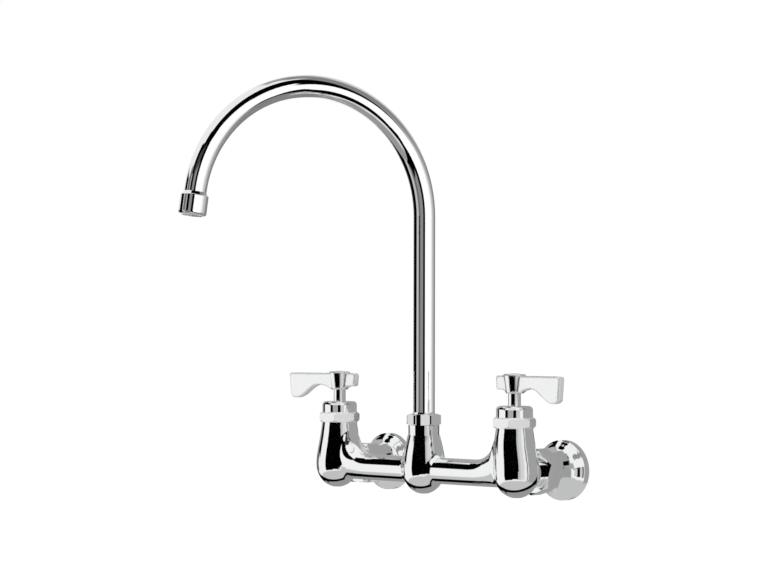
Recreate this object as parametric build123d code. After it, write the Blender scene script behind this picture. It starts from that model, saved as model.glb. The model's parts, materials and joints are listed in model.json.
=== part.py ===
from build123d import *
import math
import os

# Commercial wall faucet: a cast bridge with two quarter-turn valves, two wall
# inlets and a swinging gooseneck spout. Millimetres, +Z up, +Y into the wall,
# +X to the right as seen from the front. The origin lies on the wall face,
# half way between the two inlets, at the height of the inlet axes.

# ---- layout ---------------------------------------------------------------
inlet_spacing = 203.2        # centre to centre of the two inlets and valves
wall_standoff = 69.0         # wall face to the plane of the valve axes
arm_drop = 1.2               # arms lie this far below the inlet axes

# ---- cast body ------------------------------------------------------------
body_top = 37.8              # height of the valve body mouths
valve_neck_radius = 15.5
valve_bulb_radius = 18.9
valve_bulb_depth = 20.6      # bottom of a valve body below the inlet axes
riser_bulb_depth = 21.9
bulb_lean = 2.4              # valve bulbs bulge outwards by this much
riser_top = 29.0             # height of the centre body's mouth
riser_neck_radius = 14.0
riser_bulb_radius = 18.7
arm_radius = 11.3
arm_bore_radius = 6.0
sweep_radius = 26.5          # arc in which the arm's upper side climbs the valve body
sweep_widening = 3.4         # rate at which the arm gets wider along that arc
valve_blend_radius = 5.0     # arm into valve body
riser_blend_radius = 7.0     # arm into centre body
shank_blend_radius = 1.6     # shank into valve body
riser_cavity_radius = 8.6
seat_hole_radius = 6.0
outlet_port_radius = 3.6     # cored port from the valve chamber to the arm

# ---- shank, coupling nut and inlet ----------------------------------------
union_thread_radius = 15.5   # flange neck and coupling nut
shank_step = 2.1             # radius of the shank below that thread
waterway_radius = 7.0
nut_setback = 24.0           # valve axis to the front of the coupling nut
coupling_wall = 2.0          # union thread to the flats of the coupling nut
coupling_length = 16.8
coupling_ledge = 3.5         # thickness of the nut's front ledge
ring_width = 1.8             # retaining ring on the shank
ring_depth = 1.2             # depth of its groove
ring_clearance = 0.3         # retaining ring to the union thread
shank_lip = 2.7              # shank beyond the ring
washer_thickness = 2.0
flange_radius = 25.8
flange_rim = 6.3             # edge thickness at the wall
bell_depth = 17.7            # hollow, bell-shaped face of the flange
pipe_bore_radius = 9.13      # tap-drill bore of the half-inch female pipe thread
pipe_bore_length = 16.0
relief_depth = 1.5           # ring-shaped relief in the flange's back
relief_inner_radius = 13.0
relief_outer_radius = 22.5

# ---- valve cartridge ------------------------------------------------------
seat_height = 9.0
chamber_radius = 11.0
shoulder_height = 27.0       # floor of the mouth thread
mouth_thread_radius = 12.6
collar_thickness = 3.0
cartridge_neck_radius = 8.4
cartridge_wall = 1.5
cartridge_lift = 0.5         # housing foot above the seat
gasket_thickness = 2.0
gasket_inner_radius = 6.4
disc_radius = 9.1
fixed_disc_thickness = 3.5
moving_disc_thickness = 4.0
disc_port_radius = 2.6
disc_port_offset = 4.8
drive_slot_width = 3.0
drive_slot_depth = 1.2
drive_bar_width = 6.5
drive_bar_height = 3.8
glide_thickness = 1.4
window_height = 6.0
window_width = 7.0
ring_cord = 1.3              # cord of the small sealing rings

# ---- bonnet, stem and lever handle -----------------------------------------
bonnet_corners = 37.1
bonnet_nut_height = 9.0
bonnet_nut_slope = 0.85
cap_radius = 15.5
cap_height = 9.6
cap_edge_radius = 3.4
cap_crown = 3.0              # solid top of the cap
stem_radius = 5.3
stem_reveal = 10.5           # bare stem between cap and handle
stem_square = 7.2            # square drive in the hub
stem_square_length = 10.0
hub_height = 16.2
hub_top_radius = 9.6
hub_foot_radius = 7.1
lever_reach = 55.8           # valve axis to lever tip
lever_tail = 20.0
lever_thickness = 6.0
lever_step = 1.4             # lever's top edge below the hub's top
lever_waist = 10.7           # height of the lever beside the hub
lever_tail_depth = 11.8      # height of the tail
lever_drop = 22.6            # height of the lever at its tip
lever_toe_in = 6.4           # degrees towards the front, taps shut
lever_end_slant = 1.9        # the tip's lower corner lies this far back
lever_end_drop = 2.8         # the tip's face ends this far above the toe
lever_toe_setback = 8.8      # lowest point of the lever behind its tip
lever_corner_radius = 2.4
lever_edge_radius = 0.7
lever_web = 1.5              # web under the lever beside the hub's foot
screw_radius = 1.9
screw_length = 9.0
screw_head_radius = 3.8
screw_head_height = 2.4
button_radius = 6.6
button_thickness = 1.4
button_crown = 0.6

# ---- spout ------------------------------------------------------------------
tube_radius = 9.525
tube_wall = 1.1
tube_foot = 20.0             # height of the tube's lower end
spout_spread = 215.9         # riser axis to the outlet axis
arch_spring_height = 218.7
arch_sweep = 172.3           # degrees
spout_yaw = 20.1             # degrees from straight ahead, towards -X
adapter_collar_radius = 13.4
adapter_collar_height = 8.7
adapter_thread_radius = 11.1
adapter_thread_length = 12.0
adapter_spigot_radius = 11.4
adapter_spigot_height = 3.8
spout_nut_corners = 29.8
spout_nut_height = 9.5
spout_nut_roof = 2.6
spout_nut_slope = 0.5
ferrule_radius = 10.9
ferrule_height = 2.0
spout_glide_thickness = 0.9
nose_shoulder = 2.5
nose_collar_radius = 10.5
nose_thread_length = 8.0
nose_sleeve_length = 4.0     # short, because the tube is bent
nose_bore_radius = 7.0
aerator_radius = 11.75
aerator_height = 17.0
aerator_wall = 1.1
aerator_edge_radius = 2.6
aerator_mouth_radius = 8.8
aerator_washer_thickness = 1.4
insert_skirt = 1.2
insert_floor = 1.6
insert_hole_radius = 0.8
insert_hole_pitch = 2.6

# ---- clearances -------------------------------------------------------------
running = 0.06               # radial, turning fits
slip = 0.1                   # radial, assembled fits that stay put
film = 0.05                  # between flat faces that slide on each other

# ---- heights and places that follow -----------------------------------------
half_spacing = inlet_spacing / 2
sweep_reach = valve_neck_radius + sweep_radius
shank_radius = union_thread_radius - shank_step
coupling_corners = 2 * (union_thread_radius + coupling_wall) / math.cos(math.pi / 6)
ring_outer_radius = union_thread_radius - ring_clearance
nut_ledge_back = nut_setback + coupling_ledge
shank_end = nut_ledge_back + ring_width + shank_lip
flange_front = shank_end + washer_thickness
bonnet_nut_top = body_top + bonnet_nut_height
cap_top = bonnet_nut_top + cap_height
hub_foot = cap_top + stem_reveal
hub_top = hub_foot + hub_height
housing_outer_radius = chamber_radius - slip
housing_inner_radius = housing_outer_radius - cartridge_wall
housing_foot = seat_height + cartridge_lift
fixed_disc_foot = seat_height + gasket_thickness
moving_disc_foot = fixed_disc_foot + fixed_disc_thickness + film
drive_bar_foot = moving_disc_foot + moving_disc_thickness + film
glide_foot = drive_bar_foot + drive_bar_height + film
throat_height = glide_foot + glide_thickness + film
collar_top = shoulder_height + collar_thickness
cartridge_top = cap_top - cap_crown - slip
throat_radius = stem_radius + running
collar_height = riser_top + adapter_collar_height
spigot_top = collar_height + adapter_spigot_height
spout_nut_top = collar_height + spout_nut_height
spout_nut_ceiling = spout_nut_top - spout_nut_roof
ferrule_foot = spigot_top + film
spout_bore_radius = tube_radius + running
arch_radius = spout_spread / 2
tube_bore_radius = tube_radius - tube_wall

SIDES = {"hot": -1, "cold": 1}

# Degrees by which each nut came to rest when it was tightened.
bonnet_nut_clock = {"hot": -2, "cold": -8}
coupling_nut_clock = {"hot": 0, "cold": -20}
spout_nut_clock = -23


# ---- helpers ------------------------------------------------------------------
# Solid of revolution about Z through (radius, height) points.
def turned(points):
    outline = Polyline(*[(r, 0, z) for r, z in points], close=True)
    return revolve(make_face(outline), Axis.Z)


# Plain ring about Z.
def ring(inner, outer, low, high):
    return turned([(inner, low), (outer, low), (outer, high), (inner, high)])


# Round rod about Z.
def rod(radius, low, high):
    return Pos(0, 0, low) * Cylinder(radius, high - low, align=(Align.CENTER, Align.CENTER, Align.MIN))


# Ring of round cord that fills a groove between two radii.
def seal_ring(inner, outer, middle):
    cord = (outer - inner) / 2
    profile = Plane.XZ * Pos((inner + outer) / 2, middle) * Circle(cord)
    return revolve(profile, Axis.Z)


# Hexagon about Z whose ends are turned to a cone, so its flats end in arcs.
def hexagon(corners, low, high, slope):
    corner = corners / 2
    flat = corner * math.cos(math.pi / 6)
    over = corner + 0.5
    rise = (over - flat) * slope
    prism = Pos(0, 0, low) * extrude(RegularPolygon(corner, 6), high - low)
    foot = [(0, low), (flat, low), (over, low + rise)]
    head = [(over, high - rise), (flat, high), (0, high)]
    envelope = turned(foot + head)
    return prism & envelope


# Lays a piece that was made about Z along the inlet axis: its +Z goes to +Y.
def along_inlet(piece):
    return Rot(-90, 0, 0) * piece


# Moves a piece made on the valve axis, inlet height zero, to its valve.
def at_valve(piece, side):
    return Pos(side * half_spacing, -wall_standoff, 0) * piece


def at_riser(piece):
    return Pos(0, -wall_standoff, 0) * piece


# Edges whose middles lie in a box and which are long enough to be a joint line.
def edges_within(shape, low, high, shortest):
    found = []
    for edge in shape.edges():
        box = edge.bounding_box()
        inside = all(value > bound for value, bound in zip(tuple(box.min), low))
        inside = inside and all(value < bound for value, bound in zip(tuple(box.max), high))
        if inside and edge.length > shortest:
            found.append(edge)
    return found


# ---- cast body ------------------------------------------------------------------
# Pear about Z: the neck flares in a sine curve to the bulb, and below the axis
# the bulb closes as half an ellipsoid. The bulb's centre leans along X.
def pear(top, neck, bulb, depth, lean):
    sections = []
    for share in (1.0, 0.86, 0.7, 0.53, 0.36, 0.18, 0.0):
        radius = neck + (bulb - neck) * math.sin(math.pi / 2 * (1 - share))
        shift = lean * math.cos(math.pi / 2 * min(1, share / 0.8)) ** 2
        sections.append(Pos(shift, 0, top * share) * Circle(radius))
    for angle in (16, 32, 47, 60, 71, 80):
        height = -depth * math.sin(math.radians(angle))
        sections.append(Pos(lean, 0, height) * Circle(bulb * math.cos(math.radians(angle))))
    return loft(sections)


# Height that the arm's upper side has gained, a run along the sweep.
def sweep_rise(run):
    arc = min(run, 0.985 * sweep_radius)
    return sweep_radius - math.sqrt(sweep_radius ** 2 - arc ** 2) + 0.5 * (run - arc)


# Last part of an arm: its upper side sweeps up and its end is buried in the valve.
def arm_sweep(side):
    foot = -arm_drop - arm_radius
    sections = []
    for share in (0, 0.12, 0.24, 0.345, 0.44, 0.512, 0.571, 0.619, 0.69, 0.786):
        half_height = arm_radius + sweep_rise(share * sweep_reach) / 2
        middle = (side * (half_spacing - (1 - share) * sweep_reach), 0, foot + half_height)
        half_width = arm_radius + sweep_widening * share ** 2
        sections.append(Plane(middle, x_dir=(0, 1, 0), z_dir=(1, 0, 0)) * Ellipse(half_width, half_height))
    return loft(sections)


def shank():
    groove_foot = nut_ledge_back
    groove_top = groove_foot + ring_width + film
    floor = shank_radius - ring_depth
    outline = [(0, 0), (shank_radius, 0), (shank_radius, groove_foot), (floor, groove_foot)]
    outline += [(floor, groove_top), (shank_radius, groove_top)]
    outline += [(shank_radius, shank_end), (0, shank_end)]
    return along_inlet(turned(outline))


# Water spaces of one valve: inlet, seat, chamber, mouth and the cored outlet.
def valve_spaces(side):
    inlet = along_inlet(rod(waterway_radius, 0, shank_end + 1))
    seat = rod(seat_hole_radius, 0, seat_height + 1)
    chamber = rod(chamber_radius, seat_height, shoulder_height + 1)
    mouth = rod(mouth_thread_radius, shoulder_height, body_top + 1)
    pocket_x = -side * (chamber_radius - 1.9)
    pocket_top = throat_height - 1
    pocket = Pos(pocket_x, 0, 0) * rod(outlet_port_radius, fixed_disc_foot + 1, pocket_top)
    low = Vector(-side * (chamber_radius + 5.6), 0, -arm_drop)
    high = Vector(pocket_x, 0, fixed_disc_foot + 2)
    port = Solid.make_cylinder(outlet_port_radius, (high - low).length, Plane(low, z_dir=high - low))
    return inlet + seat + chamber + mouth + pocket + port


def body_casting():
    arm = Pos(0, 0, -arm_drop) * Rot(0, 90, 0) * Cylinder(arm_radius, 2 * (half_spacing - sweep_reach))
    body = pear(riser_top, riser_neck_radius, riser_bulb_radius, riser_bulb_depth, 0) + arm
    reach = arm_radius + 8
    low_x = riser_bulb_radius - arm_radius
    high_x = riser_bulb_radius + 6
    shortest = 1.8 * arm_radius
    joints = edges_within(body, (low_x, -reach, -reach), (high_x, reach, reach), shortest)
    joints += edges_within(body, (-high_x, -reach, -reach), (-low_x, reach, reach), shortest)
    body = fillet(joints, riser_blend_radius)
    for side in SIDES.values():
        valve = pear(body_top, valve_neck_radius, valve_bulb_radius, valve_bulb_depth, side * bulb_lean)
        body = body + arm_sweep(side) + Pos(side * half_spacing, 0, 0) * valve
    outer_x = half_spacing - valve_bulb_radius - 6
    inner_x = half_spacing - 4
    joints = edges_within(body, (outer_x, -reach, -reach), (inner_x, reach, body_top), shortest)
    joints += edges_within(body, (-inner_x, -reach, -reach), (-outer_x, reach, body_top), shortest)
    body = fillet(joints, valve_blend_radius)
    for side in SIDES.values():
        body = body + Pos(side * half_spacing, 0, 0) * shank()
    root_y = valve_bulb_radius + 1
    joints = []
    for side in SIDES.values():
        middle = side * half_spacing
        low = (middle - shank_radius - 3, 2, -reach)
        high = (middle + shank_radius + 3, root_y, reach)
        joints += edges_within(body, low, high, 1.8 * shank_radius)
    body = fillet(joints, shank_blend_radius)
    passage = half_spacing - chamber_radius - 4.4
    spaces = Pos(0, 0, -arm_drop) * Rot(0, 90, 0) * Cylinder(arm_bore_radius, 2 * passage)
    spaces = spaces + rod(riser_cavity_radius, -arm_drop - arm_bore_radius - 1, riser_top)
    thread_foot = riser_top - adapter_thread_length
    spaces = spaces + rod(adapter_thread_radius + slip / 2, thread_foot, riser_top + 1)
    for side in SIDES.values():
        spaces = spaces + Pos(side * half_spacing, 0, 0) * valve_spaces(side)
    return at_riser(body - spaces)


# ---- inlet pieces -----------------------------------------------------------------
def coupling_nut(clock):
    back = nut_setback + coupling_length
    nut = Rot(0, 0, clock) * hexagon(coupling_corners, nut_setback, back, 0.7)
    nut = nut - rod(shank_radius + slip, nut_setback - 1, back)
    nut = nut - rod(union_thread_radius + slip / 2, nut_ledge_back, back + 1)
    return along_inlet(nut)


def retaining_ring():
    low = nut_ledge_back + film / 2
    return along_inlet(ring(shank_radius - ring_depth + film, ring_outer_radius, low, low + ring_width))


def inlet_washer():
    return along_inlet(ring(waterway_radius + 0.3, shank_radius - 0.3, shank_end, flange_front))


def inlet_flange():
    rim_front = wall_standoff - flange_rim
    edge = flange_radius - 0.7
    points = []
    for outwards, forwards in ((0, 1), (0.113, 0.746), (0.3, 0.48), (0.567, 0.266), (0.835, 0.13), (1, 0.04)):
        radius = union_thread_radius + outwards * (edge - union_thread_radius)
        points.append((radius, 0, rim_front - forwards * bell_depth))
    bell = Spline(*points, tangents=((0, 0, 1), (1, 0, 0.7)))
    front = (union_thread_radius, 0, flange_front)
    neck = Polyline((0, 0, wall_standoff), (0, 0, flange_front), front, points[0])
    rim = Polyline(points[-1], (flange_radius, 0, rim_front), (flange_radius, 0, wall_standoff),
                   (0, 0, wall_standoff))
    flange = revolve(make_face(neck + bell + rim), Axis.Z)
    flange = flange - rod(waterway_radius, flange_front - 1, wall_standoff)
    flange = flange - rod(pipe_bore_radius, wall_standoff - pipe_bore_length, wall_standoff + 1)
    relief = ring(relief_inner_radius, relief_outer_radius, wall_standoff - relief_depth, wall_standoff + 1)
    return along_inlet(flange - relief)


# ---- valve cartridge ----------------------------------------------------------------
def cartridge_housing(side):
    inner = housing_inner_radius
    outer = housing_outer_radius
    groove = shoulder_height - ring_cord - 0.8
    floor = outer - ring_cord + slip
    outline = [(inner, housing_foot), (outer, housing_foot), (outer, groove), (floor, groove)]
    outline += [(floor, groove + ring_cord), (outer, groove + ring_cord), (outer, shoulder_height)]
    outline += [(mouth_thread_radius - slip, shoulder_height), (mouth_thread_radius - slip, collar_top)]
    outline += [(cartridge_neck_radius, collar_top), (cartridge_neck_radius, cartridge_top)]
    outline += [(throat_radius, cartridge_top), (throat_radius, throat_height), (inner, throat_height)]
    window_middle = throat_height - 1.5 - window_height / 2
    window = Pos(-side * outer, 0, window_middle) * Box(6, window_width, window_height)
    return turned(outline) - window


def housing_seal_ring():
    groove = shoulder_height - ring_cord - 0.8
    outer = chamber_radius - film
    inner = outer - ring_cord + film
    return seal_ring(inner, outer, groove + ring_cord / 2)


def seat_gasket():
    return ring(gasket_inner_radius, housing_inner_radius - slip, seat_height, fixed_disc_foot)


# Two ports, a quarter turn from those of the moving disc when the tap is shut.
def disc_ports(low, high, turn):
    ports = []
    for angle in (turn, turn + 180):
        x = disc_port_offset * math.cos(math.radians(angle))
        y = disc_port_offset * math.sin(math.radians(angle))
        ports.append(Pos(x, y, 0) * rod(disc_port_radius, low, high))
    return ports[0] + ports[1]


def fixed_disc():
    top = fixed_disc_foot + fixed_disc_thickness
    return rod(disc_radius, fixed_disc_foot, top) - disc_ports(fixed_disc_foot - 1, top + 1, 0)


def moving_disc():
    top = moving_disc_foot + moving_disc_thickness
    slot = Pos(0, 0, top) * Box(3 * disc_radius, drive_slot_width, 2 * drive_slot_depth)
    disc = rod(disc_radius - running, moving_disc_foot, top)
    return disc - disc_ports(moving_disc_foot - 1, top + 1, 90) - slot


def drive_glide_ring():
    return ring(stem_radius + slip, disc_radius - running, glide_foot, glide_foot + glide_thickness)


# Stem: drive bar and tongue below, round shaft through the neck, square on top.
def valve_stem():
    bar_top = drive_bar_foot + drive_bar_height
    bar = Box(3 * disc_radius, drive_bar_width, drive_bar_height)
    bar = Pos(0, 0, (drive_bar_foot + bar_top) / 2) * bar
    bar = bar & rod(disc_radius - running, drive_bar_foot, bar_top)
    tongue_height = drive_slot_depth - film
    tongue = Box(3 * disc_radius, drive_slot_width - 2 * film, tongue_height)
    tongue = Pos(0, 0, drive_bar_foot - tongue_height / 2) * tongue
    tongue = tongue & rod(disc_radius - 1, drive_bar_foot - 2, drive_bar_foot)
    shaft = rod(stem_radius, drive_bar_foot, hub_foot)
    square = Box(stem_square, stem_square, stem_square_length)
    square = Pos(0, 0, hub_foot + stem_square_length / 2) * square
    stem = bar + tongue + shaft + square
    groove_middle = (collar_top + bonnet_nut_top) / 2
    floor = stem_radius - ring_cord + slip
    half = ring_cord / 2
    groove = ring(floor, stem_radius + 1, groove_middle - half, groove_middle + half)
    top = hub_foot + stem_square_length
    return stem - groove - rod(screw_radius + film, top - screw_length, top + 1)


def stem_seal_ring():
    inner = stem_radius - ring_cord + slip
    return seal_ring(inner + film / 2, stem_radius + running / 2, (collar_top + bonnet_nut_top) / 2)


# ---- bonnet ---------------------------------------------------------------------------
def bonnet_nut(clock):
    nut = Rot(0, 0, clock) * hexagon(bonnet_corners, body_top, bonnet_nut_top, bonnet_nut_slope)
    skirt = rod(mouth_thread_radius - film, collar_top, body_top)
    return nut + skirt - rod(cartridge_neck_radius + slip, collar_top - 1, bonnet_nut_top + 1)


def bonnet_cap():
    cap = rod(cap_radius, bonnet_nut_top, cap_top)
    rim = cap.edges().group_by(Axis.Z)[-1]
    cap = fillet(rim, cap_edge_radius)
    cap = cap - rod(stem_radius + 2 * slip, bonnet_nut_top - 1, cap_top + 1)
    cap = cap - rod(cartridge_neck_radius + film, bonnet_nut_top - 1, cap_top - cap_crown)
    outer = cap_radius - 2.0
    inner = cartridge_neck_radius + 2.0
    return cap - ring(inner, outer, bonnet_nut_top - 1, cap_top - cap_crown - 1.2)


# ---- handle -----------------------------------------------------------------------------
# Point under the lever: a share of the way from the hub to the toe, and a share
# of the way from the toe up to the waist.
def under_lever(along, up):
    toe = hub_top - lever_step - lever_drop
    rise = lever_drop - lever_waist
    span = lever_reach - lever_toe_setback - hub_top_radius
    return (hub_top_radius + along * span, toe + up * rise)


# Side outline of the flat lever, along its length and height. It points to +X.
def lever_outline():
    top = hub_top - lever_step
    tail_foot = top - lever_tail_depth
    web_foot = hub_foot + 0.2
    end_foot = (lever_reach - lever_end_slant, top - lever_drop + lever_end_drop)
    upper = Line((-lever_tail, top), (lever_reach, top))
    end = Line((lever_reach, top), end_foot)
    web = (hub_foot_radius + lever_web, web_foot)
    underside = Spline(end_foot, under_lever(1, 0), under_lever(0.73, 0.33), under_lever(0.51, 0.81),
                       under_lever(0.29, 1.0), under_lever(0.12, 0.9), web,
                       tangents=((-0.75, -1.0), (-1.0, -0.6)))
    foot = Line(web, (-hub_foot_radius - 0.5, web_foot))
    heel_end = (-hub_top_radius - 0.4 * (lever_tail - hub_top_radius), tail_foot)
    heel = Spline((-hub_foot_radius - 0.5, web_foot), heel_end, tangents=((-0.5, 1.0), (-1.0, 0.0)))
    back = Line(heel_end, (-lever_tail + 1.2, tail_foot))
    rear = Line((-lever_tail + 1.2, tail_foot), (-lever_tail, top))
    return make_face(upper + end + underside + foot + heel + back + rear)


# Flat plate of that outline with rounded ends and softened rims.
def lever_plate():
    outline = lever_outline()
    tip = [corner for corner in outline.vertices() if corner.X > lever_reach - 2 * lever_end_slant]
    tail = [corner for corner in outline.vertices() if corner.X < -lever_tail + 2]
    outline = fillet(tip + tail, lever_corner_radius)
    plate = extrude(Plane.XZ * outline, lever_thickness / 2, both=True)
    rims = [edge for edge in plate.edges() if abs(abs(edge.center().Y) - lever_thickness / 2) < 0.01]
    return fillet(rims, lever_edge_radius)


def lever_handle():
    hub = turned([(0, hub_foot), (hub_foot_radius, hub_foot), (hub_top_radius, hub_top), (0, hub_top)])
    hub = fillet(hub.edges().group_by(Axis.Z)[-1], 1.0)
    handle = hub + lever_plate()
    socket_top = hub_foot + stem_square_length + slip
    socket = Box(stem_square + 2 * slip, stem_square + 2 * slip, socket_top - hub_foot + 1)
    handle = handle - Pos(0, 0, (hub_foot - 1 + socket_top) / 2) * socket
    recess = hub_top - button_thickness
    handle = handle - rod(button_radius + slip, recess, hub_top + 1)
    handle = handle - rod(screw_head_radius + 2 * slip, recess - screw_head_height - 0.3, recess + 1)
    return handle - rod(screw_radius + slip, hub_foot, hub_top)


def handle_screw():
    head_foot = hub_top - button_thickness - screw_head_height - 0.3
    head = rod(screw_head_radius, head_foot, head_foot + screw_head_height)
    slot = Pos(0, 0, head_foot + screw_head_height) * Box(3 * screw_head_radius, 1.1, 2.0)
    low = hub_foot + stem_square_length - screw_length + 1
    return head - slot + rod(screw_radius, low, head_foot)


def index_button():
    low = hub_top - button_thickness
    crown_radius = (button_radius ** 2 + button_crown ** 2) / (2 * button_crown)
    disc = rod(button_radius, low, hub_top + button_crown)
    return disc & (Pos(0, 0, hub_top + button_crown - crown_radius) * Sphere(crown_radius))


# Turns a handle piece made along +X to where its lever points with the tap shut.
def turned_lever(piece, side):
    angle = 180 + lever_toe_in if side < 0 else -lever_toe_in
    return Rot(0, 0, angle) * piece


# ---- spout seat ---------------------------------------------------------------------------
def swivel_adapter():
    bore = spout_bore_radius
    foot = riser_top - adapter_thread_length
    lip = tube_bore_radius - 0.4
    tube_seat = tube_foot - film
    outline = [(lip, foot), (adapter_thread_radius, foot), (adapter_thread_radius, riser_top)]
    outline += [(adapter_collar_radius, riser_top), (adapter_collar_radius, collar_height)]
    outline += [(adapter_spigot_radius, collar_height), (adapter_spigot_radius, spigot_top)]
    outline += [(bore, spigot_top), (bore, tube_seat), (lip, tube_seat)]
    adapter = turned(outline)
    for middle in seal_heights():
        half = ring_cord / 2 + slip
        adapter = adapter - ring(bore - 1, bore + ring_cord, middle - half, middle + half)
    return at_riser(adapter)


def seal_heights():
    third = adapter_collar_height / 3
    return [riser_top + third, riser_top + 2 * third]


def spout_seal_ring(middle):
    return at_riser(seal_ring(spout_bore_radius, spout_bore_radius + ring_cord - film, middle))


def spout_nut(clock):
    nut = Rot(0, 0, clock) * hexagon(spout_nut_corners, collar_height, spout_nut_top, spout_nut_slope)
    nut = nut - rod(adapter_spigot_radius + film, collar_height - 1, spout_nut_ceiling)
    return at_riser(nut - rod(tube_radius + 2 * slip, collar_height, spout_nut_top + 1))


def spout_glide_washer():
    high = spout_nut_ceiling - film
    return at_riser(ring(tube_radius + 2 * slip, ferrule_radius, high - spout_glide_thickness, high))


def tube_ferrule():
    return at_riser(ring(tube_radius, ferrule_radius, ferrule_foot, ferrule_foot + ferrule_height))


# ---- gooseneck ------------------------------------------------------------------------------
# The arch lies in the XZ plane towards +X and is then turned to the spout's yaw.
def in_spout_plane(piece):
    return at_riser(Rot(0, 0, -90 - spout_yaw) * piece)


def arch_axis():
    return Axis((arch_radius, 0, arch_spring_height), (0, 1, 0))


# Moves a piece that stands on top of the riser to the far end of the arch.
def at_outlet(piece):
    return in_spout_plane(piece.rotate(arch_axis(), arch_sweep))


def gooseneck_tube():
    section = Circle(tube_radius) - Circle(tube_bore_radius)
    riser = extrude(Pos(0, 0, tube_foot) * section, arch_spring_height - tube_foot)
    arch = revolve(Pos(0, 0, arch_spring_height) * section, arch_axis(), arch_sweep)
    return in_spout_plane(riser + arch)


def outlet_nose():
    low = arch_spring_height
    sleeve = tube_bore_radius - slip
    thread = aerator_radius - aerator_wall - film
    thread_foot = low + nose_shoulder
    thread_top = thread_foot + nose_thread_length
    outline = [(nose_bore_radius, low - nose_sleeve_length), (sleeve, low - nose_sleeve_length)]
    outline += [(sleeve, low), (tube_radius, low), (nose_collar_radius, thread_foot), (thread, thread_foot)]
    outline += [(thread, thread_top), (nose_bore_radius, thread_top)]
    return at_outlet(turned(outline))


def aerator_housing():
    low = arch_spring_height + nose_shoulder
    high = low + aerator_height
    cup = rod(aerator_radius, low, high)
    cup = fillet(cup.edges().group_by(Axis.Z)[-1], aerator_edge_radius)
    cup = fillet(cup.edges().group_by(Axis.Z)[0], 0.8)
    cup = cup - rod(aerator_radius - aerator_wall, low - 1, high - insert_floor)
    return at_outlet(cup - rod(aerator_mouth_radius, low, high + 1))


def aerator_washer():
    low = arch_spring_height + nose_shoulder + nose_thread_length
    outer = aerator_radius - aerator_wall - slip
    return at_outlet(ring(nose_bore_radius + 0.4, outer, low, low + aerator_washer_thickness))


# Cup with a drilled floor that breaks the stream up.
def aerator_insert():
    low = arch_spring_height + nose_shoulder + nose_thread_length + aerator_washer_thickness
    high = arch_spring_height + nose_shoulder + aerator_height - insert_floor
    outer = aerator_radius - aerator_wall - slip
    insert = rod(outer, low, high) + rod(aerator_mouth_radius - slip, high, high + insert_floor / 2)
    insert = insert - rod(outer - insert_skirt, low - 1, high - insert_floor)
    for row in range(-2, 3):
        for place in range(5 - abs(row)):
            x = (place - (4 - abs(row)) / 2) * insert_hole_pitch
            y = row * insert_hole_pitch * math.sqrt(3) / 2
            insert = insert - Pos(x, y, 0) * rod(insert_hole_radius, low, high + insert_floor)
    return at_outlet(insert)


# ---- all nodes --------------------------------------------------------------------------------
def build_parts():
    parts = {"body_casting": body_casting(), "swivel_adapter": swivel_adapter()}
    low_seal, high_seal = seal_heights()
    parts["lower_spout_seal"] = spout_seal_ring(low_seal)
    parts["upper_spout_seal"] = spout_seal_ring(high_seal)
    parts["spout_nut"] = spout_nut(spout_nut_clock)
    parts["spout_glide_washer"] = spout_glide_washer()
    parts["tube_ferrule"] = tube_ferrule()
    parts["gooseneck_tube"] = gooseneck_tube()
    parts["outlet_nose"] = outlet_nose()
    parts["aerator_housing"] = aerator_housing()
    parts["aerator_washer"] = aerator_washer()
    parts["aerator_insert"] = aerator_insert()
    for name, side in SIDES.items():
        fixed = {
            "inlet_flange": inlet_flange(),
            "coupling_nut": coupling_nut(coupling_nut_clock[name]),
            "retaining_ring": retaining_ring(),
            "inlet_washer": inlet_washer(),
            "bonnet_nut": bonnet_nut(bonnet_nut_clock[name]),
            "bonnet_cap": bonnet_cap(),
            "cartridge_housing": cartridge_housing(side),
            "cartridge_seal": housing_seal_ring(),
            "seat_gasket": seat_gasket(),
            "fixed_disc": fixed_disc(),
        }
        moving = {
            "moving_disc": moving_disc(),
            "drive_glide_ring": drive_glide_ring(),
            "valve_stem": valve_stem(),
            "stem_seal": stem_seal_ring(),
            "lever_handle": lever_handle(),
            "handle_screw": handle_screw(),
            "index_button": index_button(),
        }
        for piece, shape in fixed.items():
            parts[name + "_" + piece] = at_valve(shape, side)
        for piece, shape in moving.items():
            parts[name + "_" + piece] = at_valve(turned_lever(shape, side), side)
    return parts


os.makedirs("parts", exist_ok=True)
for node, shape in build_parts().items():
    export_step(shape, "parts/" + node + ".step")
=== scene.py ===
import json
import math

import bpy
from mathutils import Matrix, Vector


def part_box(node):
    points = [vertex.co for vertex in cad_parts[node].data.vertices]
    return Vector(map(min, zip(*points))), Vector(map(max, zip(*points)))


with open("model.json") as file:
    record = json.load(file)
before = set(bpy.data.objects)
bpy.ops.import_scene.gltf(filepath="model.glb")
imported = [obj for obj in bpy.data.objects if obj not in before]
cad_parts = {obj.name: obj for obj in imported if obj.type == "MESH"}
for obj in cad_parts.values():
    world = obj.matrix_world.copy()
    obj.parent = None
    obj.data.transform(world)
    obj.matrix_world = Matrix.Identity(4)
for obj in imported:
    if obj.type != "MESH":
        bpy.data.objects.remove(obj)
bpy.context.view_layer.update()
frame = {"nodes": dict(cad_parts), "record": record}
nodes = frame["nodes"]
bpy.ops.object.select_all(action="DESELECT")
print("frame loaded:", len(nodes), "nodes")


riserLow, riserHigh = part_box("swivel_adapter")
riserY = (riserLow.y + riserHigh.y) / 2

# The photograph's view of the faucet: metres, degrees, and millimetres for lens and film.
camera = {
    "place": (1.2644, riserY - 1.4186, 0.10961),
    "tilt": 91.419,      # from straight down, so it looks up a little
    "roll": -0.14,
    "turn": 42.76,
    "lens": 102.39,
    "filmWidth": 36,
}


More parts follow.
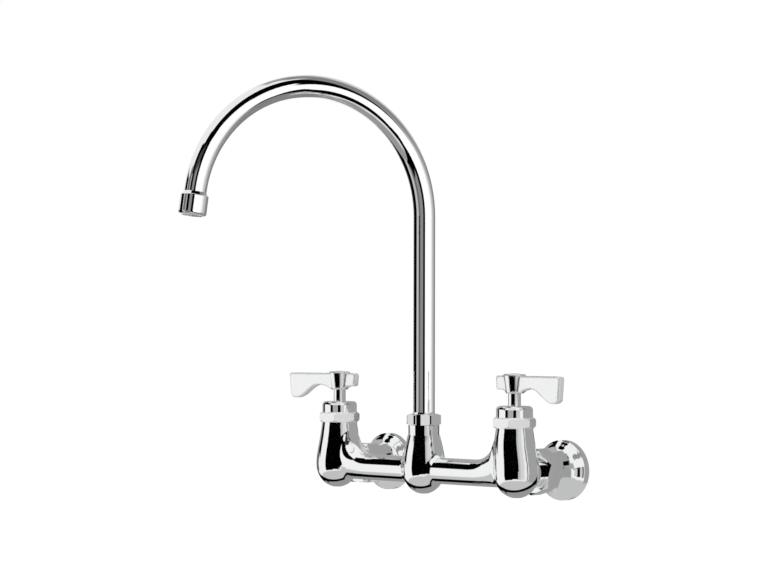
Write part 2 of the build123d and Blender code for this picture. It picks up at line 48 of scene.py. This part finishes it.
def addCamera():
    data = bpy.data.cameras.new("camera")
    data.lens = camera["lens"]
    data.sensor_width = camera["filmWidth"]
    data.sensor_fit = "HORIZONTAL"
    item = bpy.data.objects.new("camera", data)
    item.location = camera["place"]
    item.rotation_euler = [math.radians(camera[key]) for key in ("tilt", "roll", "turn")]
    bpy.context.scene.collection.objects.link(item)
    bpy.context.scene.camera = item


addCamera()
print("camera placed")


def addNode(tree, kind, **values):
    node = tree.nodes.new(kind)
    for name, value in values.items():
        setattr(node, name, value)
    return node


def mathNode(tree, operation, first, second=None):
    node = addNode(tree, "ShaderNodeMath", operation=operation)
    for index, value in enumerate((first, second)):
        if isinstance(value, bpy.types.NodeSocket):
            tree.links.new(value, node.inputs[index])
        elif value is not None:
            node.inputs[index].default_value = value
    return node.outputs[0]


# The emptied node tree of a material or world.
def newTree(owner):
    owner.use_nodes = True
    owner.node_tree.nodes.clear()
    return owner.node_tree


# The cards that the polished metal sees. Angles are degrees: an azimuth goes round
# the object from the camera's side, positive to the camera's right, and an elevation
# goes up from level. Later cards lie on top of earlier ones.
# Curved cards: (from, to, low, high, edge, brightness).
bodyStudio = {
    "cards": {
        "sky": (-181, 181, -91, 91, 1, 0.95),
        "paleFloor": (-181, 181, -91, -29, 6, 0.57),
        "greyRight": (62, 181, -30, 60, 8, 0.37),
        "paleFarRight": (150, 181, -30, 60, 20, 0.60),
        "greyBack": (-181, -139, -30, 60, 6, 0.40),
        "blackBack": (-131, -112, 1, 20, 3, 0.0),
        "blackBackMiddle": (-141, -128, -14, 8, 3, 0.02),
        "blackBackLow": (-168, -148, -24, -2, 4, 0.01),
        "blackBackLine": (-150, -140, -48, -24, 4, 0.03),
        "blackAbove": (-146, -69, 19.5, 48, 3, 0.0),
        "blackAboveTop": (-112, -80, 46, 54, 3, 0.0),
        "greyNear": (0, 22, -24, 30, 6, 0.54),
        "greyMiddle": (18, 42, -24, 30, 10, 0.70),
        "greyFar": (38, 62, -24, 30, 10, 0.90),
        "darkAboveRight": (8, 66, 26, 50, 4, 0.04),
        "blackFront": (-70, 4, -21.5, 30, 2, 0.0),
        "blackFrontLow": (-70, -26, -24.5, -1, 2, 0.0),
        "blackLimb": (-181, -149, -9.5, -0.5, 2, 0.01),
        "blackFrontEdge": (0, 8, 1, 30, 2, 0.0),
        "darkLine": (52, 59, -30, 50, 3, 0.25),
    },
    # Discs round a direction given as right, towards the camera and up:
    # (from, to, edge, brightness).
    "under": (0.164, -0.618, -0.769),
    "underDiscs": {
        "blackRim": (-1, 53, 3, 0.0),
        "greyUnder": (-1, 38, 3, 0.33),
    },
    "frontCards": {
        "armLine": (-147, -113, -51, -41, 3, 0.0),
    },
}
spoutStudio = {
    "cards": {
        "sky": (-181, 181, -91, 91, 1, 0.9),
        "backTop": (-181, -160, 45, 80, 8, 0.35),
        "low": (-181, 181, -91, -37.5, 3, 0.31),
        "right": (68, 181, -70, 66, 6, 0.24),
        "rightTop": (92, 181, 60, 79, 6, 0.25),
        "farRight": (133, 181, 18, 54, 10, 0.7),
        "rightGlow": (66, 118, -14, 18, 30, 0.55),
        "rightGlowNear": (66, 88, -18, 14, 20, 0.95),
        "lowFront": (-25, 110, -78, -50, 4, 0.8),
    },
    # Flat cards: (facing, left, right, bottom, top, edge, brightness).
    "panels": {
        "blackTop": (30, -89, 40, 0, 72, 1.5, 0.0),
        "blackBottom": (55, -70, 25.5, -68.5, -22, 1.5, 0.0),
    },
    "frontCards": {
        "lowLeft": (-181, -18, -91, -37, 4, 0.33),
        "brightCorner": (-30, -10, -70, -39, 6, 0.75),
        "blackLeft": (-68, 9, -37, 43, 2, 0.0),
        "blackLeftTop": (-46, 0, 40, 50, 2, 0.0),
        "blackCard": (-123, -86.5, -37, 20.5, 2, 0.0),
        "blackCardLow": (-146, -120, -37, -19, 3, 0.0),
        "darkBack": (-150, -121, -20, 6, 6, 0.06),
        "paleLeft": (-85, -61, -38, 8, 4, 0.55),
        "greyFarLeft": (-82, -60, 8, 28, 4, 0.16),
        "paleStripe": (-60, -52, 9, 24, 2, 0.5),
        "middleLeft": (-62, -50, -34, 1, 3, 0.22),
        "middleLine": (-50, -41, -30, 6, 3, 0.1),
        "greyLeft": (-42, -12, -22, 9, 3, 0.27),
        "greyLeftTop": (-31, -10, 6, 25, 3, 0.27),
        "greyUpperLeft": (-40, -14, 24, 36, 6, 0.06),
        "whitePanel": (8.5, 51, -27, 29, 1.5, 1.1),
        "whiteTop": (14, 36, 27, 33, 3, 1.1),
        "whiteRight": (45, 72, -27, 13, 3, 1.1),
        "whiteBottom": (17, 60, -35, -24, 3, 1.1),
    },
}
capStudio = {      # for the bonnet caps and the wall flanges
    "cards": {
        "sky": (-181, 181, -91, 91, 1, 0.95),
        "low": (-181, 181, -91, -29, 6, 0.57),
        "back": (-181, -142, -30, 50, 6, 0.45),
        "right": (51, 181, -30, 80, 6, 0.36),
        "blackBack": (-139, -115, -12, 20, 3, 0.0),
        "blackAbove": (-146, -68, 13, 46, 3, 0.0),
        "greyNear": (-50, -13, -20, 9, 4, 0.42),
        "blackNear": (-63, -45, -20, 9, 2, 0.0),
        "blackNearTop": (-70, -50, 3, 11, 2, 0.0),
        "blackMiddle": (-12, 8, -20, 9, 2, 0.0),
        "blackMiddleTop": (0, 36, 3, 9, 2, 0.03),
        "greyRight": (8, 30, -20, 9, 4, 0.62),
        "blackOver": (-165, -85, 57, 78, 4, 0.0),
        "greyOver": (-52, 8, 35, 50, 4, 0.30),
        "greySide": (30, 60, 9, 32, 6, 0.40),
        "blackStreak": (58, 73, 26, 46, 3, 0.0),
        "blackStreakTop": (48, 62, 56, 67, 3, 0.03),
        "blackStreakLow": (71, 82, 11, 19, 3, 0.08),
    },
}
roomLight = 1.0      # what every surface gets that doesn't mirror; 1 is white


# 1 between two values, 0 outside them, with a soft edge.
def bandMask(tree, value, start, end, edge):
    rise = addNode(tree, "ShaderNodeMapRange", interpolation_type="SMOOTHSTEP")
    fall = addNode(tree, "ShaderNodeMapRange", interpolation_type="SMOOTHSTEP")
    for node, middle, low, high in ((rise, start, 0, 1), (fall, end, 1, 0)):
        tree.links.new(value, node.inputs["Value"])
        node.inputs["From Min"].default_value = middle - edge / 2
        node.inputs["From Max"].default_value = middle + edge / 2
        node.inputs["To Min"].default_value = low
        node.inputs["To Max"].default_value = high
    return mathNode(tree, "MULTIPLY", rise.outputs[0], fall.outputs[0])


def dotWith(tree, direction, axis):
    node = addNode(tree, "ShaderNodeVectorMath", operation="DOT_PRODUCT")
    tree.links.new(direction, node.inputs[0])
    node.inputs[1].default_value = axis
    return node.outputs["Value"]


# A direction given as right, towards the camera and up, in the world's own axes.
def fromCamera(right, towards, height):
    turn = math.radians(camera["turn"])
    across = Vector((math.cos(turn), math.sin(turn), 0))
    back = Vector((math.sin(turn), -math.cos(turn), 0))
    return across * right + back * towards + Vector((0, 0, height))


def inDegrees(tree, operation, first, second=None):
    return mathNode(tree, "MULTIPLY", mathNode(tree, operation, first, second), 180 / math.pi)


def layCard(tree, below, mask, name, brightness):
    mix = addNode(tree, "ShaderNodeMix", data_type="FLOAT", label=name)
    if below is not None:
        tree.links.new(below, mix.inputs["A"])
    mix.inputs["B"].default_value = brightness
    tree.links.new(mask, mix.inputs["Factor"])
    return mix.outputs["Result"]


# A card that fills a band across and a band upwards.
def layBands(tree, below, across, upwards, name, brightness):
    return layCard(tree, below, mathNode(tree, "MULTIPLY", across, upwards), name, brightness)


def layCurved(tree, direction, cards, colour=None):
    toRight = dotWith(tree, direction, fromCamera(1, 0, 0))
    toCamera = dotWith(tree, direction, fromCamera(0, 1, 0))
    azimuth = inDegrees(tree, "ARCTAN2", toRight, toCamera)
    elevation = inDegrees(tree, "ARCSINE", dotWith(tree, direction, (0, 0, 1)))
    for name, (start, end, low, high, edge, brightness) in cards.items():
        across = bandMask(tree, azimuth, start, end, edge)
        upwards = bandMask(tree, elevation, low, high, edge)
        colour = layBands(tree, colour, across, upwards, name, brightness)
    return colour


def layFlat(tree, direction, cards, colour):
    up = dotWith(tree, direction, (0, 0, 1))
    for name, (facing, left, right, bottom, top, edge, brightness) in cards.items():
        turn = math.radians(facing)
        ahead = dotWith(tree, direction, fromCamera(math.sin(turn), math.cos(turn), 0))
        aside = dotWith(tree, direction, fromCamera(math.cos(turn), -math.sin(turn), 0))
        across = bandMask(tree, inDegrees(tree, "ARCTAN2", aside, ahead), left, right, edge)
        upwards = bandMask(tree, inDegrees(tree, "ARCTAN2", up, ahead), bottom, top, edge)
        colour = layBands(tree, colour, across, upwards, name, brightness)
    return colour


def layDiscs(tree, direction, axis, discs, colour):
    away = inDegrees(tree, "ARCCOSINE", dotWith(tree, direction, axis))
    for name, (start, end, edge, brightness) in discs.items():
        mask = bandMask(tree, away, start - edge, end, edge)
        colour = layCard(tree, colour, mask, name, brightness)
    return colour


# Mirror rays see the cards, and all other rays see plain white. Clear shells tell the
# sets of cards apart: a ray from the body has crossed an even number of them or none,
# one from the spout an odd number, and one from a cap or flange an odd number over two.
def buildWorld():
    world = bpy.data.worlds.new("studio")
    bpy.context.scene.world = world
    tree = newTree(world)
    direction = addNode(tree, "ShaderNodeTexCoord").outputs["Generated"]
    under = fromCamera(*bodyStudio["under"])
    body = layCurved(tree, direction, bodyStudio["cards"])
    body = layDiscs(tree, direction, under, bodyStudio["underDiscs"], body)
    body = layCurved(tree, direction, bodyStudio["frontCards"], body)
    spout = layCurved(tree, direction, spoutStudio["cards"])
    spout = layFlat(tree, direction, spoutStudio["panels"], spout)
    spout = layCurved(tree, direction, spoutStudio["frontCards"], spout)
    caps = layCurved(tree, direction, capStudio["cards"])
    path = addNode(tree, "ShaderNodeLightPath")
    crossed = path.outputs["Transparent Depth"]
    isOdd = mathNode(tree, "MODULO", crossed, 2)
    isMany = mathNode(tree, "MULTIPLY", isOdd, mathNode(tree, "GREATER_THAN", crossed, 2))
    colour = body
    for chosen, cards in ((isOdd, spout), (isMany, caps)):
        seen = addNode(tree, "ShaderNodeMix", data_type="FLOAT")
        tree.links.new(chosen, seen.inputs["Factor"])
        tree.links.new(colour, seen.inputs["A"])
        tree.links.new(cards, seen.inputs["B"])
        colour = seen.outputs["Result"]
    plain = addNode(tree, "ShaderNodeBackground")
    plain.inputs["Color"].default_value = (1, 1, 1, 1)
    plain.inputs["Strength"].default_value = roomLight
    mirrored = addNode(tree, "ShaderNodeBackground")
    tree.links.new(colour, mirrored.inputs["Color"])
    either = addNode(tree, "ShaderNodeMixShader")
    tree.links.new(path.outputs["Is Glossy Ray"], either.inputs["Fac"])
    tree.links.new(plain.outputs[0], either.inputs[1])
    tree.links.new(mirrored.outputs[0], either.inputs[2])
    output = addNode(tree, "ShaderNodeOutputWorld")
    tree.links.new(either.outputs[0], output.inputs["Surface"])


buildWorld()
print("cards hung")

# The spout's shell: a narrow neck round the riser that opens into a wide room round
# the arch. Sizes are metres.
tent = {
    "low": 0.105,
    "high": 0.42,
    "radius": 0.32,
    "neckRadius": 0.0125,
    "overNut": 0.0015,
    "facingUp": 0.9,      # the least upward normal of the neck's top
}
# The shells close round each cap and flange, one outside the other.
shells = {
    "sides": 64,
    "count": 3,
    "clearance": 0.0004,
    "step": 0.0003,
    "caps": ("hot_bonnet_cap", "cold_bonnet_cap"),
    "flanges": ("hot_inlet_flange", "cold_inlet_flange"),
    "flangeReach": 0.004,      # over the end of the coupling nut
}


# Only mirror rays meet a shell.
def finishShell(shell, name, material):
    shell.name = name
    bpy.ops.object.transform_apply(location=True, rotation=True, scale=True)
    shell.data.materials.append(material)
    for kind in ("camera", "diffuse", "transmission", "volume_scatter", "shadow"):
        setattr(shell, "visible_" + kind, False)
    shell.select_set(False)


def addShell(name, radius, length, middle, material, ends="NGON", lying=False):
    bpy.ops.mesh.primitive_cylinder_add(
        vertices=shells["sides"], radius=radius, depth=length, end_fill_type=ends,
        location=middle, rotation=(math.pi / 2 if lying else 0, 0, 0))
    finishShell(bpy.context.object, name, material)


def addTent(material):
    low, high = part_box("spout_nut")[1].z + tent["overNut"], tent["low"]
    bpy.ops.mesh.primitive_cylinder_add(
        vertices=shells["sides"], radius=tent["neckRadius"], depth=high - low,
        location=(0, riserY, (low + high) / 2))
    shell = bpy.context.object
    bpy.ops.object.mode_set(mode="EDIT")
    bpy.ops.mesh.select_mode(type="FACE")
    bpy.ops.mesh.select_all(action="DESELECT")
    bpy.ops.object.mode_set(mode="OBJECT")
    for face in shell.data.polygons:
        face.select = face.normal.z > tent["facingUp"]
    bpy.ops.object.mode_set(mode="EDIT")
    bpy.ops.mesh.extrude_region_move()
    wider = tent["radius"] / tent["neckRadius"]
    bpy.ops.transform.resize(value=(wider, wider, 1), center_override=(0, riserY, high))
    bpy.ops.mesh.extrude_region_move(
        TRANSFORM_OT_translate={"value": (0, 0, tent["high"] - tent["low"])})
    bpy.ops.mesh.select_all(action="DESELECT")
    bpy.ops.object.mode_set(mode="OBJECT")
    finishShell(shell, "tent", material)


def buildShells():
    clear = bpy.data.materials.new("clearShell")
    tree = newTree(clear)
    through = addNode(tree, "ShaderNodeBsdfTransparent")
    output = addNode(tree, "ShaderNodeOutputMaterial")
    tree.links.new(through.outputs[0], output.inputs["Surface"])
    addTent(clear)
    for turn in range(shells["count"]):
        out = shells["clearance"] + turn * shells["step"]
        for node in shells["caps"]:
            low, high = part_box(node)
            addShell(f"{node}_shell{turn}", (high.x - low.x) / 2 + out,
                     high.z - low.z + 2 * out, (low + high) / 2, clear)
        for node in shells["flanges"]:
            low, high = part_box(node)
            low.y -= shells["flangeReach"]
            addShell(f"{node}_shell{turn}", (high.x - low.x) / 2 + out,
                     high.y - low.y + 2 * out, (low + high) / 2, clear, lying=True)


buildShells()

# A glowing collar just off the spout nut, which only the nut's mirror rays meet: its bands of
# light and dark are a painted reflection for the nut.
# Its cards have the rows of the curved cards, by angle round the nut.
nutCollar = {
    "clearance": 0.0006,
    "cards": {
        "pale": (-181, 181, -91, 91, 1, 0.74),
        "block": (-29, -13, -91, 91, 3, 0.0),
        "shade": (27, 150, -91, 91, 3, 0.40),
    },
}


def buildCollar():
    reflectionGlow = bpy.data.materials.new("nutCollarPaintedReflection")
    tree = newTree(reflectionGlow)
    place = addNode(tree, "ShaderNodeTexCoord").outputs["Object"]
    low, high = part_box("spout_nut")
    middle = (low + high) / 2
    fromAxis = addNode(tree, "ShaderNodeVectorMath", operation="SUBTRACT")
    tree.links.new(place, fromAxis.inputs[0])
    fromAxis.inputs[1].default_value = middle
    # the collar glows: this emission paints the bright, black and grey bands that the nut
    # reflects
    glow = addNode(tree, "ShaderNodeEmission")
    colour = layCurved(tree, fromAxis.outputs[0], nutCollar["cards"])
    tree.links.new(colour, glow.inputs["Color"])
    output = addNode(tree, "ShaderNodeOutputMaterial")
    tree.links.new(glow.outputs[0], output.inputs["Surface"])
    addShell("nutCollar", (high.x - low.x) / 2 + nutCollar["clearance"], high.z - low.z,
             middle, reflectionGlow, "NOTHING")


buildCollar()

# White paper under the faucet, in metres.
floorPaper = {
    "height": -0.32,
    "radius": 9.0,
    "sides": 96,
    "colour": (0.88, 0.88, 0.88, 1),
    "roughness": 0.9,
    "whiten": 0.14,      # seen by the camera alone
}


def buildFloor():
    bpy.ops.mesh.primitive_circle_add(
        vertices=floorPaper["sides"], radius=floorPaper["radius"], fill_type="NGON",
        location=(0, riserY, floorPaper["height"]))
    floor = bpy.context.object
    floor.name = "floor"
    bpy.ops.object.transform_apply(location=True, rotation=True, scale=True)
    material = bpy.data.materials.new("floorPaint")
    material.use_nodes = True
    tree = material.node_tree
    principled = tree.nodes["Principled BSDF"]
    principled.inputs["Base Color"].default_value = floorPaper["colour"]
    principled.inputs["Roughness"].default_value = floorPaper["roughness"]
    principled.inputs["Specular IOR Level"].default_value = 0.0
    seen = addNode(tree, "ShaderNodeLightPath").outputs["Is Camera Ray"]
    white = mathNode(tree, "MULTIPLY", seen, floorPaper["whiten"])
    principled.inputs["Emission Color"].default_value = (1, 1, 1, 1)
    tree.links.new(white, principled.inputs["Emission Strength"])
    floor.data.materials.append(material)
    floor.visible_glossy = False      # the metal sees the cards, the eye sees the floor
    floor.select_set(False)


buildFloor()
print("studio built")


def groupInput(group, name, value=None):
    kind = "NodeSocketVector" if value is None else "NodeSocketFloat"
    socket = group.interface.new_socket(name=name, in_out="INPUT", socket_type=kind)
    if value is not None:
        socket.default_value = value


def groupOutput(group, name):
    group.interface.new_socket(name=name, in_out="OUTPUT", socket_type="NodeSocketFloat")


def addNoise(group, source, scale, detail, distortion=0):
    noise = addNode(group, "ShaderNodeTexNoise")
    noise.inputs["Detail"].default_value = detail
    noise.inputs["Distortion"].default_value = distortion
    group.links.new(source.outputs["Vector"], noise.inputs["Vector"])
    group.links.new(scale, noise.inputs["Scale"])
    return noise.outputs["Fac"]


# Roughness of a polished plate: faint cloudy haze and finer wipe marks.
hazeMarks = {
    "cloudDetail": 3,
    "wipeDetail": 2,
    "wipeDistortion": 0.6,
    "wipeFiner": 7,
    "clearBelow": 0.12,
    "hazyAbove": 0.45,
}


def buildPlateHaze():
    group = bpy.data.node_groups.new("plateHaze", "ShaderNodeTree")
    groupInput(group, "Vector")
    for name, value in (("Clear", 0.03), ("Hazy", 0.08), ("Scale", 60)):
        groupInput(group, name, value)
    groupOutput(group, "Roughness")
    source = addNode(group, "NodeGroupInput")
    target = addNode(group, "NodeGroupOutput")
    scale = source.outputs["Scale"]
    fine = mathNode(group, "MULTIPLY", scale, hazeMarks["wipeFiner"])
    cloud = addNoise(group, source, scale, hazeMarks["cloudDetail"])
    wipe = addNoise(group, source, fine, hazeMarks["wipeDetail"], hazeMarks["wipeDistortion"])
    spread = addNode(group, "ShaderNodeMapRange")
    spread.inputs["From Min"].default_value = hazeMarks["clearBelow"]
    spread.inputs["From Max"].default_value = hazeMarks["hazyAbove"]
    group.links.new(mathNode(group, "MULTIPLY", cloud, wipe), spread.inputs["Value"])
    group.links.new(source.outputs["Clear"], spread.inputs["To Min"])
    group.links.new(source.outputs["Hazy"], spread.inputs["To Max"])
    group.links.new(spread.outputs[0], target.inputs["Roughness"])
    return group


# Height of a surface that was polished by hand: long shallow waves and fine grain.
polishMarks = {"waveDetail": 1, "grainDetail": 2}


def buildHandPolish():
    group = bpy.data.node_groups.new("handPolish", "ShaderNodeTree")
    groupInput(group, "Vector")
    for name, value in (("Wave Scale", 40), ("Grain Scale", 900), ("Grain", 0.02)):
        groupInput(group, name, value)
    groupOutput(group, "Height")
    source = addNode(group, "NodeGroupInput")
    target = addNode(group, "NodeGroupOutput")
    wave = addNoise(group, source, source.outputs["Wave Scale"], polishMarks["waveDetail"])
    grain = addNoise(group, source, source.outputs["Grain Scale"], polishMarks["grainDetail"])
    fine = mathNode(group, "MULTIPLY", grain, source.outputs["Grain"])
    group.links.new(mathNode(group, "ADD", wave, fine), target.inputs["Height"])
    return group


plateHaze = buildPlateHaze()
handPolish = buildHandPolish()
print("shared effects built")

# One row for each material slot of the record. Scales are noise per metre, and a
# surface's roughness lies between clear and hazy.
chromeColour = (0.93, 0.935, 0.94)
finishes = {
    "cast_chrome": {
        "colour": chromeColour, "metal": 1, "clear": 0.02, "hazy": 0.06,
        "hazeScale": 55, "waveScale": 45, "grainScale": 700, "grain": 0.02, "bump": 0.02},
    "turned_chrome": {
        "colour": chromeColour, "metal": 1, "clear": 0.02, "hazy": 0.06,
        "hazeScale": 70, "waveScale": 60, "grainScale": 900, "grain": 0.02, "bump": 0.008},
    "tube_chrome": {
        "colour": chromeColour, "metal": 1, "clear": 0.02, "hazy": 0.05,
        "hazeScale": 40, "waveScale": 30, "grainScale": 800, "grain": 0.02, "bump": 0.008},
    "lever_chrome": {
        "colour": chromeColour, "metal": 1, "clear": 0.03, "hazy": 0.075,
        "hazeScale": 60, "waveScale": 70, "grainScale": 900, "grain": 0.03, "bump": 0.012,
        "softEdge": 0.003, "armMetal": 0.62,
        "hubOn": "cold_valve_stem", "hubRadius": 0.0105, "hubEdge": 0.003},
    "stem_chrome": {
        "colour": (0.92, 0.925, 0.93), "metal": 1, "clear": 0.04, "hazy": 0.09,
        "hazeScale": 70, "waveScale": 80, "grainScale": 900, "grain": 0.03, "bump": 0.01},
    "satin_chrome_nut": {
        "colour": (0.90, 0.90, 0.90), "metal": 0.6, "clear": 0.16, "hazy": 0.28,
        "hazeScale": 120, "waveScale": 150, "grainScale": 1500, "grain": 0.3, "bump": 0.05},
    "yellow_brass": {
        "colour": (0.72, 0.55, 0.26), "metal": 1, "clear": 0.15, "hazy": 0.3,
        "hazeScale": 80, "waveScale": 90, "grainScale": 1200, "grain": 0.2, "bump": 0.05},
    "spring_steel": {
        "colour": (0.60, 0.60, 0.60), "metal": 1, "clear": 0.2, "hazy": 0.3,
        "hazeScale": 80, "waveScale": 90, "grainScale": 1200, "grain": 0.2, "bump": 0.05},
    "black_rubber": {
        "colour": (0.03, 0.03, 0.03), "metal": 0, "clear": 0.6, "hazy": 0.8,
        "hazeScale": 90, "waveScale": 120, "grainScale": 1500, "grain": 0.5, "bump": 0.1},
    "white_ceramic": {
        "colour": (0.90, 0.90, 0.87), "metal": 0, "clear": 0.15, "hazy": 0.25,
        "hazeScale": 90, "waveScale": 120, "grainScale": 1500, "grain": 0.2, "bump": 0.03},
    "white_plastic": {
        "colour": (0.85, 0.85, 0.82), "metal": 0, "clear": 0.4, "hazy": 0.55,
        "hazeScale": 90, "waveScale": 120, "grainScale": 1500, "grain": 0.4, "bump": 0.06},
    "grey_plastic": {
        "colour": (0.35, 0.36, 0.37), "metal": 0, "clear": 0.35, "hazy": 0.5,
        "hazeScale": 90, "waveScale": 120, "grainScale": 1500, "grain": 0.4, "bump": 0.06},
}
for side, paint in (("hot", (0.60, 0.03, 0.03)), ("cold", (0.03, 0.10, 0.50))):
    finishes[side + "_index"] = {
        "colour": chromeColour, "metal": 1, "clear": 0.05, "hazy": 0.12,
        "hazeScale": 120, "waveScale": 150, "grainScale": 1500, "grain": 0.1, "bump": 0.01,
        "dot": paint, "dotRadius": 0.0034, "dotEdge": 0.0002, "dotOn": side + "_index_button"}

# What all the finishes share.
plating = {
    "tintScale": 0.4,      # of the haze's scale
    "tintDark": 0.96,
    "bumpDistance": 0.001,
    "edgeSamples": 6,
}


def groupNode(tree, group, inputs):
    node = addNode(tree, "ShaderNodeGroup", node_tree=group)
    for name, value in inputs.items():
        if isinstance(value, bpy.types.NodeSocket):
            tree.links.new(value, node.inputs[name])
        else:
            node.inputs[name].default_value = value
    return node.outputs[0]


# 1 near a piece's upright middle line and near its mirror image's, 0 farther off.
def nearAxis(tree, place, piece, radius, edge):
    low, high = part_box(piece)
    middle = (low + high) / 2
    mirrored = addNode(tree, "ShaderNodeVectorMath", operation="ABSOLUTE")
    tree.links.new(place, mirrored.inputs[0])
    flat = addNode(tree, "ShaderNodeVectorMath", operation="MULTIPLY")
    tree.links.new(mirrored.outputs[0], flat.inputs[0])
    flat.inputs[1].default_value = (1, 1, 0)
    away = addNode(tree, "ShaderNodeVectorMath", operation="DISTANCE")
    tree.links.new(flat.outputs[0], away.inputs[0])
    away.inputs[1].default_value = (abs(middle.x), abs(middle.y), 0)
    return bandMask(tree, away.outputs["Value"], -1, radius, edge)      # no distance is below 0


# The finish's colour, a little darker in soft patches.
def addTint(tree, place, finish):
    tint = addNode(tree, "ShaderNodeTexNoise")
    tint.inputs["Scale"].default_value = finish["hazeScale"] * plating["tintScale"]
    tree.links.new(place, tint.inputs["Vector"])
    shade = addNode(tree, "ShaderNodeMixRGB")
    dark = [value * plating["tintDark"] for value in finish["colour"]]
    shade.inputs["Color1"].default_value = (*finish["colour"], 1)
    shade.inputs["Color2"].default_value = (*dark, 1)
    tree.links.new(tint.outputs["Fac"], shade.inputs["Fac"])
    return shade.outputs["Color"]


# A painted dot on an index button.
def addDot(tree, place, finish, colour, principled):
    dot = nearAxis(tree, place, finish["dotOn"], finish["dotRadius"], finish["dotEdge"])
    painted = addNode(tree, "ShaderNodeMixRGB")
    painted.inputs["Color2"].default_value = (*finish["dot"], 1)
    tree.links.new(dot, painted.inputs["Fac"])
    tree.links.new(colour, painted.inputs["Color1"])
    tree.links.new(mathNode(tree, "SUBTRACT", 1, dot), principled.inputs["Metallic"])
    return painted.outputs["Color"]


# A lever's flat arm shows some of its own pale colour, and its hub mirrors.
def addPaleArm(tree, place, finish, principled):
    hub = nearAxis(tree, place, finish["hubOn"], finish["hubRadius"], finish["hubEdge"])
    arm = mathNode(tree, "SUBTRACT", 1, hub)
    fall = mathNode(tree, "MULTIPLY", arm, 1 - finish["armMetal"])
    tree.links.new(mathNode(tree, "SUBTRACT", 1, fall), principled.inputs["Metallic"])


def buildFinish(name, finish):
    material = bpy.data.materials.new(name)
    material.use_nodes = True
    tree = material.node_tree
    principled = tree.nodes["Principled BSDF"]
    place = addNode(tree, "ShaderNodeTexCoord").outputs["Object"]
    roughness = groupNode(tree, plateHaze, {
        "Vector": place, "Clear": finish["clear"], "Hazy": finish["hazy"],
        "Scale": finish["hazeScale"]})
    height = groupNode(tree, handPolish, {
        "Vector": place, "Wave Scale": finish["waveScale"],
        "Grain Scale": finish["grainScale"], "Grain": finish["grain"]})
    colour = addTint(tree, place, finish)
    principled.inputs["Metallic"].default_value = finish["metal"]
    if "dot" in finish:
        colour = addDot(tree, place, finish, colour, principled)
    if "armMetal" in finish:
        addPaleArm(tree, place, finish, principled)
    tree.links.new(colour, principled.inputs["Base Color"])
    tree.links.new(roughness, principled.inputs["Roughness"])
    bump = addNode(tree, "ShaderNodeBump")
    bump.inputs["Strength"].default_value = finish["bump"]
    bump.inputs["Distance"].default_value = plating["bumpDistance"]
    tree.links.new(height, bump.inputs["Height"])
    tree.links.new(bump.outputs["Normal"], principled.inputs["Normal"])
    if "softEdge" in finish:      # edges look rounder than the solid's own small rounding
        bevel = addNode(tree, "ShaderNodeBevel", samples=plating["edgeSamples"])
        bevel.inputs["Radius"].default_value = finish["softEdge"]
        tree.links.new(bevel.outputs["Normal"], bump.inputs["Normal"])
    return material


slotOf = {row["node"]: row["material_slot"] for row in frame["record"]["subparts"]}
materials = {name: buildFinish(name, finish) for name, finish in finishes.items()}
for name, node in nodes.items():
    node.data.materials.clear()
    node.data.materials.append(materials[slotOf[name]])
print("finishes laid on", len(nodes), "nodes")

bpy.context.scene.view_settings.view_transform = "Standard"
